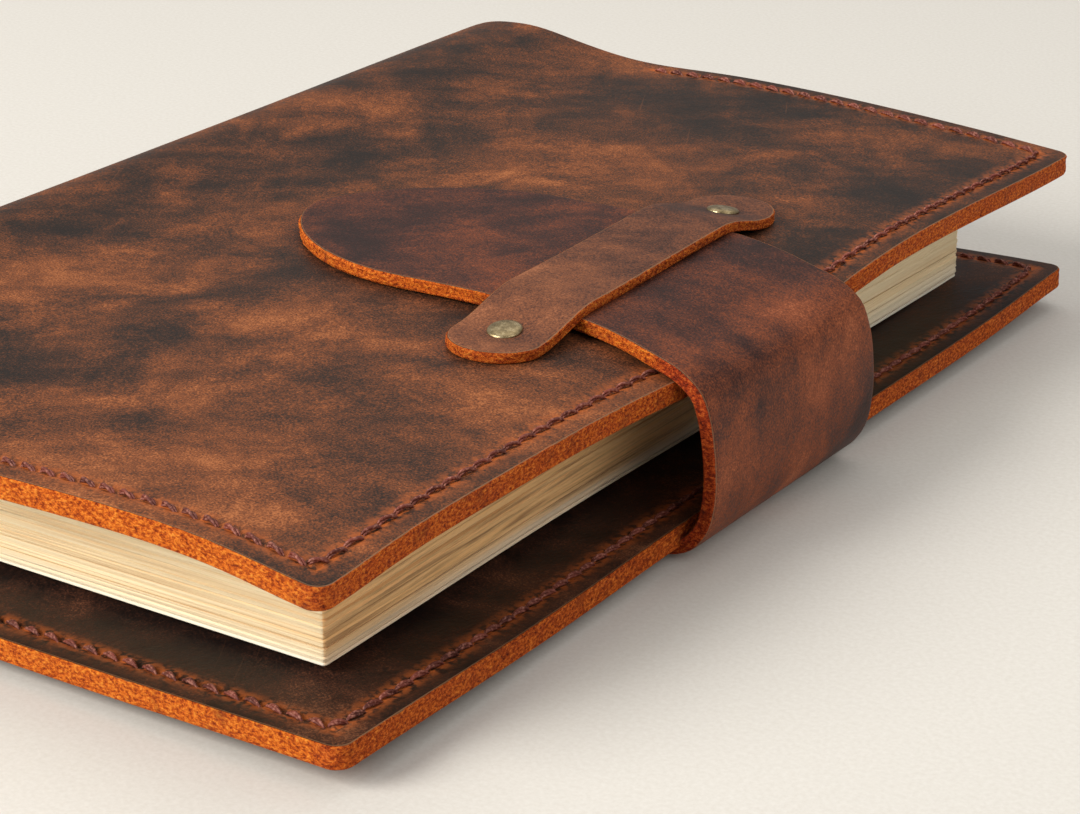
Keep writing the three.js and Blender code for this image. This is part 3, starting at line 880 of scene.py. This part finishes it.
def cloud_tone(x, y, clouds):
    tone = np.zeros(len(x))
    for cx, cy, reach, amount in clouds:
        tone += amount * np.exp(-((x - cx) ** 2 + (y - cy) ** 2) / reach ** 2)
    return tone


def cover_marks(sheet):
    points = sheet.points
    front = points[:, 2] > 0.02
    tone = np.where(front, cloud_tone(points[:, 0], points[:, 1], FRONT_CLOUDS), 0.0)
    spine = smoothstep(-points[:, 0], -SPINE_X - 0.014, -SPINE_X - 0.002)
    return tone + 0.10 * spine


def make_cover_leather():
    """One sheet round back, spine and front, parted at mid spine into two pieces."""
    outline, nu, nv = rounded_plan(COVER.first, COVER.last, HALF, CORNER_RADIUS, CORNER_RADIUS,
                                   PANEL_STEP)
    sheet = Sheet(
        outline, nu, nv,
        lambda s, y: COVER.at(s, y, 0), lambda s, y: COVER.at(s, y, PLY),
        SEWN_RINGS, EDGE_SHARES, rough_edge(PANEL_ROUGH, nu, nv),
        outer_dip=groove(1), inner_soft=0,
    )
    marks = {"tone": cover_marks, "halo": worn_beside_stitches()}
    rows = sheet.plan[:nu + 1, 0]
    cut = rows[np.argmin(np.abs(rows))]
    back = sheet.piece("cover_leather_back", "cover_leather", replaces=["back_outer_leather"],
                       marks=marks, between=(-1, cut))
    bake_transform(back)
    front = sheet.piece("cover_leather_front", "cover_leather",
                        replaces=["front_outer_leather", "spine_leather"],
                        marks=marks, between=(cut, 1))
    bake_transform(front)


BOARD_ROOM, BOARD_SWELL, SWELL_REACH = 2 * MM, 0.9 * MM, 7 * MM
BOARD_NEAR, BOARD_FAR = PLY + 0.02 * MM, PLY + 0.80 * MM
PLY_GAP = 0.05 * MM


def board_swell(x, y):
    """The pocket leather stands in over the notebook's board."""
    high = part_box("notebook_front_board")[1]
    inward_x, inward_y = high.x + BOARD_ROOM - x, high.y + BOARD_ROOM - np.abs(y)
    over = smoothstep(inward_x, 0, SWELL_REACH) * smoothstep(inward_y, 0, SWELL_REACH)
    return BOARD_SWELL * over


def make_pocket(side, name):
    """Pocket leather inside a cover panel. side is +1 for the front cover, -1 for the back."""
    width = POCKET_HIGH.x - POCKET_LOW.x
    edge = COVER.last if side > 0 else -COVER.first
    outline, nu, nv = rounded_plan(edge - width, edge, HALF, 0, CORNER_RADIUS, PANEL_STEP)

    def face(depth):
        def place(s, y):
            x = COVER.point(side * s, y)[..., 0]
            return COVER.at(side * s, y, depth + board_swell(x, y))
        return place

    faces = [face(PLY - PLY_GAP), face(2 * PLY + PLY_GAP)][::side]
    dips = [None, groove(side)][::side]
    softs = [0, 1][::side]
    sheet = Sheet(
        outline, nu, nv, *faces, SEWN_RINGS, EDGE_SHARES, rough_edge(PANEL_ROUGH, nu, nv),
        *dips, *softs,
    )
    sheet.piece(f"{name}_pocket", "pocket_leather", f"{name}_cover", [f"{name}_pocket_leather"],
                {"halo": worn_beside_stitches(side > 0)})


def make_board(side, name):
    """The notebook's card board, in the pocket between the two leathers."""
    low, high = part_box(f"notebook_{name}_board")
    start, end = float(COVER.s_at(low.x, side)), float(COVER.s_at(high.x, side))
    outline, nu, nv = rounded_plan(start, end, high.y, 0, 2 * MM, 4 * MM)

    def face(depth):
        return lambda s, y: COVER.at(side * s, y, depth)

    faces = [face(BOARD_NEAR), face(BOARD_FAR)][::side]
    sheet = Sheet(outline, nu, nv, *faces, [(0, 0.1), (0.3 * MM, 0)], (0.5,),
                  rough_edge(0.02 * MM, nu, nv))
    sheet.piece(f"{name}_board", "board_card", f"{name}_cover", [f"notebook_{name}_board"])


def make_cover_stitches(side, name):
    """The run that shows on the outer face of a cover panel, and the run on its pocket."""
    def place_on(depth):
        def place(x, y, up):
            return COVER.at(side * COVER.s_at(x, side), y, depth + (up if depth else -up))
        return place

    for run, depth, holes in (("outer", 0, HOLES), ("inner", 2 * PLY, HOLES[::-1])):
        stitches(f"{name}_stitches_{run}", holes, place_on(depth), f"{name}_cover",
                 [f"{name}_thread_{run}"])


KEEPER_HALF, KEEPER_ROUND, KEEPER_ROOM = 8.5 * MM, 8.1 * MM, 0.6 * MM
LIFT_FULL, LIFT_END = TONGUE_HALF - 5 * MM, TONGUE_HALF + 12 * MM
WAIST, WAIST_REACH = 0.03, 22 * MM
BOW, BOW_TURN = 0.9 * MM, 2.2
CAP_SINK = 0.42 * MM  # how far a cap is pressed into the keeper
STRAP_STEP = 1.5 * MM


def make_keeper():
    """The strap over the tongue: flat ends under the rivets, lifted where the tongue passes."""
    mid_x, reach = (KEEPER_LOW.x + KEEPER_HIGH.x) / 2, KEEPER_HIGH.y
    outline, nu, nv = rounded_plan(-reach, reach, KEEPER_HALF, KEEPER_ROUND, KEEPER_ROUND,
                                   STRAP_STEP, 10)

    def face(height):
        def place(y, across):
            lift = (TONGUE_THICK + KEEPER_ROOM) * (1 - smoothstep(np.abs(y), LIFT_FULL, LIFT_END))
            waist = 1 - WAIST * np.exp(-(y / WAIST_REACH) ** 2)
            x = mid_x - across * waist - BOW * np.sin(y / reach * BOW_TURN)
            return COVER.at(COVER.s_at(x), y, -(height + lift))
        return place

    sheet = Sheet(
        outline, nu, nv, face(KEEPER_THICK), face(0.05 * MM), LEATHER_RINGS, EDGE_SHARES,
        rough_edge(0.12 * MM, nu, nv),
        outer_dip=lambda plan: 0.16 * np.exp(
            -((np.abs(plan[:, 0]) - RIVET_Y) ** 2 + plan[:, 1] ** 2) / (4.2 * MM) ** 2
        ),
    )

    def rivet_ring(made):
        away = np.hypot(np.abs(made.plan[:, 0]) - RIVET_Y, made.plan[:, 1])
        return np.clip(1 - away / (6.5 * MM), 0, 1) * -0.22

    sheet.piece("keeper", "keeper_leather", "front_cover", ["keeper_strap"], {"tone": rivet_ring})
    for name, side in (("foot", -1), ("head", 1)):
        low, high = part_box(f"rivet_cap_{name}")
        y, across = side * RIVET_Y, mid_x - (low.x + high.x) / 2
        step = 2 * MM
        around = face(KEEPER_THICK)(
            y + step * np.array([1, -1, 0, 0]), across + step * np.array([0, 0, -1, 1])
        )
        seat = face(KEEPER_THICK - CAP_SINK)(np.array([y]), np.array([across]))[0]
        normal = np.cross(around[2] - around[3], around[0] - around[1])
        make_rivet(name, Vector(seat), Vector(normal).normalized())


DENT = 0.020  # millimetres, like the profiles that follow: (radius, height) from the top down
CAP_PROFILE = ((0.0, 1.02), (0.6, 1.01), (1.2, 0.99), (1.7, 0.95), (2.2, 0.88), (2.6, 0.77),
               (2.86, 0.62), (3.0, 0.44), (3.0, 0.24), (2.9, 0.06), (2.5, -0.06))


def lathe(seat, turn, profile, sides, dents=()):
    """A round solid on its seat, with small dents in its crown: (angle, radius, reach)."""
    points = [seat + turn @ Vector((0, 0, profile[0][1] * MM))]
    for radius, height in profile[1:]:
        for k in range(sides):
            angle = 2 * math.pi * k / sides
            x, y = radius * math.cos(angle), radius * math.sin(angle)
            sunk = 0.0
            for a, r, reach in dents:
                away = math.dist((x, y), (r * math.cos(a), r * math.sin(a)))
                sunk += DENT * math.exp(-(away / reach) ** 2)
            points.append(seat + turn @ (Vector((x, y, height - sunk)) * MM))
    faces = [(0, 1 + k, 1 + (k + 1) % sides) for k in range(sides)]
    for ring in range(len(profile) - 2):
        a, b = 1 + ring * sides, 1 + (ring + 1) * sides
        faces += [(a + k, b + k, b + (k + 1) % sides, a + (k + 1) % sides) for k in range(sides)]
    last = 1 + (len(profile) - 2) * sides
    faces.append(tuple(last + k for k in range(sides))[::-1])
    return points, faces


def make_rivet(name, seat, normal):
    """A low domed cap, rolled under at its rim, on a post whose flange sits under the cover."""
    turn = normal.to_track_quat("Z", "Y").to_matrix()
    dents = [(RNG.uniform(0, 6.28), RNG.uniform(0.8, 2.2), RNG.uniform(0.5, 0.9))
             for _ in range(3)]
    points, faces = lathe(seat, turn, CAP_PROFILE, 48, dents)
    make_piece(f"rivet_{name}", points, faces, "antique_brass", "front_cover",
               [f"rivet_cap_{name}"], sharp=60)
    under = (CAP_SINK - KEEPER_THICK - PLY) / MM
    post = [(0.0, 0.66), (1.05, 0.66), (1.2, 0.56), (1.2, under + 0.50), (2.85, under + 0.45),
            (3.0, under + 0.35), (3.0, under + 0.1), (2.85, under)]
    points, faces = lathe(seat, turn, post, 24)
    make_piece(f"rivet_shank_{name}", points, faces, "antique_brass", "front_cover",
               [f"rivet_post_{name}"], sharp=60)


# ---- tongue ----

BEND_ASIDE, ASIDE_REACH = 3.2 * MM, 19 * MM
SKIVE, SKIVE_FULL, SKIVE_END = 0.5 * MM, 30 * MM, 4 * MM
TIP_LENGTH, TAIL_LENGTH = 38 * MM, 34 * MM


class Strap:
    """The tongue's outer face: from its sewn end, round the fore edge, to its tip. s = 0 there."""

    def __init__(self):
        top = [
            (x, float(np.interp(COVER.s_at(x), COVER.s, COVER.z)) + TONGUE_THICK + lift)
            for x, lift in (
                (FLAP_LOW.x + 1.2 * MM, 0.10 * MM), (FORE_X - 0.086, 0.12 * MM),
                (FORE_X - 0.072, 0.15 * MM), (FORE_X - 0.058, 0.22 * MM),
                (FORE_X - 0.044, 0.45 * MM),
            )
        ]
        bend = [
            (-0.112, 0.0006), (-0.090, 0.0006), (-0.060, 0.0006), (-0.035, 0.0006),
            (-0.018, 0.0005), (-0.009, 0.0003), (-0.0028, 0.0006), (0.0020, 0.0026),
            (0.0054, 0.0070), (0.0070, 0.0134), (0.0074, 0.0205), (0.0069, 0.0275),
            (0.0050, 0.0330), (0.0012, 0.0368), (-0.0060, 0.0384), (-0.0180, 0.0390),
            (-0.0310, 0.0391),
        ]
        curve = smooth_curve([(FORE_X + x, z) for x, z in bend] + top[::-1], CURVE_STEP)
        self.x, self.z = curve.T
        self.s = distances(curve)
        self.length = self.s[-1]
        self.crest = self.s_near(FORE_X + 0.003, 0.035)

    def place(self, s, v, depth):
        """A point of the strap: v runs across it, towards -Y."""
        h = 1 * MM
        s = np.clip(s, 0, self.length)
        x, z = np.interp(s, self.s, self.x), np.interp(s, self.s, self.z)
        ahead, behind = np.minimum(s + h, self.length), np.maximum(s - h, 0)
        dx = np.interp(ahead, self.s, self.x) - np.interp(behind, self.s, self.x)
        dz = np.interp(ahead, self.s, self.z) - np.interp(behind, self.s, self.z)
        size = np.hypot(dx, dz)
        upper = smoothstep(z, 0.030, 0.038)
        follow = upper * rise(np.minimum(x, FORE_X), -v, FRONT_BUMPS)
        wave = upper * 0.35 * MM * np.sin(v / 0.011 + 0.6) * smoothstep(x, FORE_X - 0.03, FORE_X)
        aside = BEND_ASIDE * np.exp(-((s - self.crest) / ASIDE_REACH) ** 2)
        height = z + depth * dx / size + follow + wave
        return np.stack([x - depth * dz / size, -v - aside, height], -1)

    def thickness(self, s):
        """Skived a little where it is sewn under the back cover."""
        kept = smoothstep(s, SEWN_LENGTH - SKIVE_FULL, SEWN_LENGTH - SKIVE_END)
        return TONGUE_THICK - SKIVE * (1 - kept)

    def half_width(self, s):
        body = np.interp(
            s, [0, self.length * 0.55, self.length * 0.72, self.length],
            [TONGUE_HALF, TONGUE_HALF, TONGUE_HALF - 1.4 * MM, TONGUE_HALF - 1.5 * MM],
        )
        tip = np.clip((s - (self.length - TIP_LENGTH)) / TIP_LENGTH, 0, 1)
        end = np.clip((TAIL_LENGTH - s) / TAIL_LENGTH, 0, 1)
        return body * (1 - tip ** 1.9) ** 0.62 * (1 - end ** 2.2) ** 0.6

    def outline(self, step):
        cap, tail = 10 * MM, 8 * MM
        long_steps = int(round((self.length - cap - tail) / step))
        s = np.linspace(tail, self.length - cap, long_steps + 1)
        low = np.stack([s, -self.half_width(s)], 1)
        spread = 1 - np.linspace(0, 1, 400) ** 0.5
        ends = []
        for dense, side in ((self.length - cap * spread, -1), (tail * spread, 1)):
            half = np.stack([dense, side * self.half_width(dense)], 1)
            ends.append(np.vstack([half, half[::-1][1:] * [1, -1]]))
        steps = int(round(len(resample(ends[0], step)) / 2)) * 2
        tip, end = (evenly(line, steps) for line in ends)
        high = low[::-1] * [1, -1]
        loop = np.vstack([low[:-1], tip[:-1], high[:-1], end[:-1]])
        return loop, long_steps, steps

    def s_near(self, x, z):
        return self.s[np.argmin(np.hypot(self.x - x, self.z - z))]


STRAP = Strap()


BLEND_REACH = 8.5 * MM  # how far beyond the first and the last cut the outer stops lie
BLEND_TRIM = 0.12


def make_tongue():
    """One strap, parted inside each bent length into pieces."""
    outline, nu, nv = STRAP.outline(STRAP_STEP)
    sheet = Sheet(
        outline, nu, nv,
        lambda s, v: STRAP.place(s, v, 0),
        lambda s, v: STRAP.place(s, v, STRAP.thickness(s)),
        LEATHER_RINGS + [(4.6 * MM, 0)], (0.22, 0.36, 0.5, 0.64, 0.78),
        rough_edge(0.20 * MM, nu, nv),
    )

    def tone(made):
        x, y, z = made.points.T
        clouds = [(-0.025, 0.006, 0.018, 0.02), (-0.004, -0.002, 0.014, -0.08),
                  (0.052, 0.008, 0.010, -0.10), (0.012, 0.016, 0.008, -0.08)]
        # Painted light: the tongue's bend is painted lighter, as if lit, at its near end, and
        # darker towards its far end.
        bend = smoothstep(x, FORE_X - 0.006, FORE_X + 0.006)
        far = smoothstep(y, -0.010, 0.020)
        return cloud_tone(x, y, clouds) * (z > 0.03) + bend * (0.06 - 0.13 * far) - 0.03

    pivots = [PIVOT[name] for name in
              ("tongue_unroll", "tongue_side_bend", "tongue_upper_bend", "tongue_flap_bend")]
    rows = sheet.plan[:nu + 1, 0]
    wanted = [STRAP.s_near((a.x + b.x) / 2, (a.z + b.z) / 2) for a, b in zip(pivots, pivots[1:])]
    cuts = [rows[np.argmin(np.abs(rows - s))] for s in wanted]
    centres = [Vector(place) for place in STRAP.place(np.array(cuts), 0.0, TONGUE_THICK / 2)]
    before = centres[0] - Vector((BLEND_REACH, 0, BLEND_REACH))
    beyond = centres[2] + Vector((-BLEND_REACH, 0, BLEND_REACH))
    stops = [before] + centres + [beyond]
    names = ("tongue_sewn_end", "tongue_lower_turn", "tongue_upper_turn", "tongue_flap_leather")
    nodes = (["tongue_anchor", "tongue_bend_1"], ["tongue_bend_2"], ["tongue_bend_3"],
             ["tongue_flap"])
    limits = [-1] + cuts + [1]
    for i, name in enumerate(names):
        piece = sheet.piece(name, "tongue_leather", replaces=nodes[i], marks={"tone": tone},
                            between=(limits[i], limits[i + 1]))
        start, end = stops[i], stops[i + 1]
        if i in (1, 2):
            start, end = start.lerp(end, BLEND_TRIM), end.lerp(start, BLEND_TRIM)
        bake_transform(piece)


def make_anchor_stitches():
    """The seam that sews the tongue's end to the back cover, seen on its underside."""
    low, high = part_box("tongue_anchor_thread")
    inset = TONGUE_HALF - high.y
    s = np.linspace(0, SEWN_LENGTH - 9 * MM, 400)
    half = np.maximum(STRAP.half_width(s) - inset - 0.4 * MM, 0)
    inner = s > s[np.argmax(half > 4 * MM)]
    path = [(s[inner][i], half[inner][i]) for i in range(inner.sum())][::-1]
    path = path + [(x, -y) for x, y in path[::-1]]
    holes = resample(path, STITCH_PITCH)

    def place(x, y, up):
        return STRAP.place(x, y, 0.25 * MM - up)

    stitches("anchor_stitches", holes, place, "back_cover", ["tongue_anchor_thread"])


# ---- notebook ----

LEAF_INSET, PAGE_MARGIN, NEAR_RISE = 0.12 * MM, 0.7 * MM, 1.5 * MM
BLOCK_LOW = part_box("back_endpaper")[0].z
BLOCK_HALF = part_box("back_signature_4")[1].z - BLOCK_LOW
BLOCK_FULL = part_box("front_endpaper")[1].z - BLOCK_LOW


def make_leaves(name, slot, body, leaf=0.28 * MM, wander=0.10 * MM):
    """A gathering of leaves: each leaf's edge stands a little in or out, and is a little wavy."""
    low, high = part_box(name)
    plan, _, _ = rounded_plan(low.x + LEAF_INSET, high.x - LEAF_INSET,
                              (high.y - low.y) / 2 - LEAF_INSET, 0.8 * MM, 0.8 * MM, 3 * MM, 3)
    outline = plan(0)
    count = len(outline)
    along = np.roll(outline, -1, 0) - np.roll(outline, 1, 0)
    along /= np.linalg.norm(along, axis=1)[:, None]
    outward = np.stack([along[:, 1], -along[:, 0]], 1)
    rows = max(3, int(round((high.z - low.z) / leaf)) + 1)
    heights = np.linspace(low.z + 0.02 * MM, high.z - 0.02 * MM, rows)
    kernel = np.hanning(31) / np.hanning(31).sum()
    points, faces, fore, pages = [], [], [], []
    for row, z in enumerate(heights):
        slow = np.convolve(np.tile(RNG.normal(size=count), 3), kernel, "same")[count:2 * count]
        push = wander * (RNG.normal() * 0.5 + 2.2 * slow) - 0.05 * MM
        push = np.minimum(push, LEAF_INSET * 0.9)
        if row in (0, rows - 1):
            push = push - 0.10 * MM
        ring = outline + outward * push[:, None]
        nearer = smoothstep(-ring[:, 1], -high.y, high.y)
        nearer = nearer * max(0, 1 - (z - BLOCK_LOW) / BLOCK_HALF)
        share = (z - BLOCK_LOW) / BLOCK_FULL
        droop = np.minimum(rise(ring[:, 0], ring[:, 1], FRONT_BUMPS), 0)
        nearer = NEAR_RISE * nearer + share * droop
        points += [(x, y, z + up) for (x, y), up in zip(ring, nearer)]
        fore += list((outward[:, 0] > 0.7).astype(float))
        if row in (0, rows - 1):
            page = ring - outward * PAGE_MARGIN
            pages.append([(x, y, z + up) for (x, y), up in zip(page, nearer)])
    for row in range(rows - 1):
        faces += between_rings(row * count, (row + 1) * count, count)
    for edge, page, turn in ((0, pages[0], -1), ((rows - 1) * count, pages[1], 1)):
        first = len(points)
        points += page
        fore += [0.0] * count
        faces += [face[::turn] for face in between_rings(edge, first, count)]
        faces.append(tuple(range(first, first + count))[::turn])
    make_piece(name + "_leaves", points, faces, slot, body, [name],
               {"fore": fore, "page": [0.0] * (rows * count) + [1.0] * (2 * count)}, sharp=60)


def make_notebook():
    for half, body in (("back", "back_cover"), ("front", "front_leaves")):
        for number in range(1, 5):
            make_leaves(f"{half}_signature_{number}", "paper", body)
        make_leaves(f"{half}_endpaper", "white_paper", body, leaf=0.3 * MM, wander=0.05 * MM)


# ---- everything ----

def make_floor():
    reach = 3.0
    points = [(x * reach, y * reach, 0) for x, y in ((-1, -1), (1, -1), (1, 1), (-1, 1))]
    floor = make_piece("floor", points, [(0, 1, 2, 3)], "floor")


make_camera()
make_lights()
make_floor()
make_cover_leather()
for panel_side, panel_name in ((1, "front"), (-1, "back")):
    make_pocket(panel_side, panel_name)
    make_board(panel_side, panel_name)
for panel_side, panel_name in ((1, "front"), (-1, "back")):
    make_cover_stitches(panel_side, panel_name)
make_tongue()
make_anchor_stitches()
make_keeper()
make_notebook()
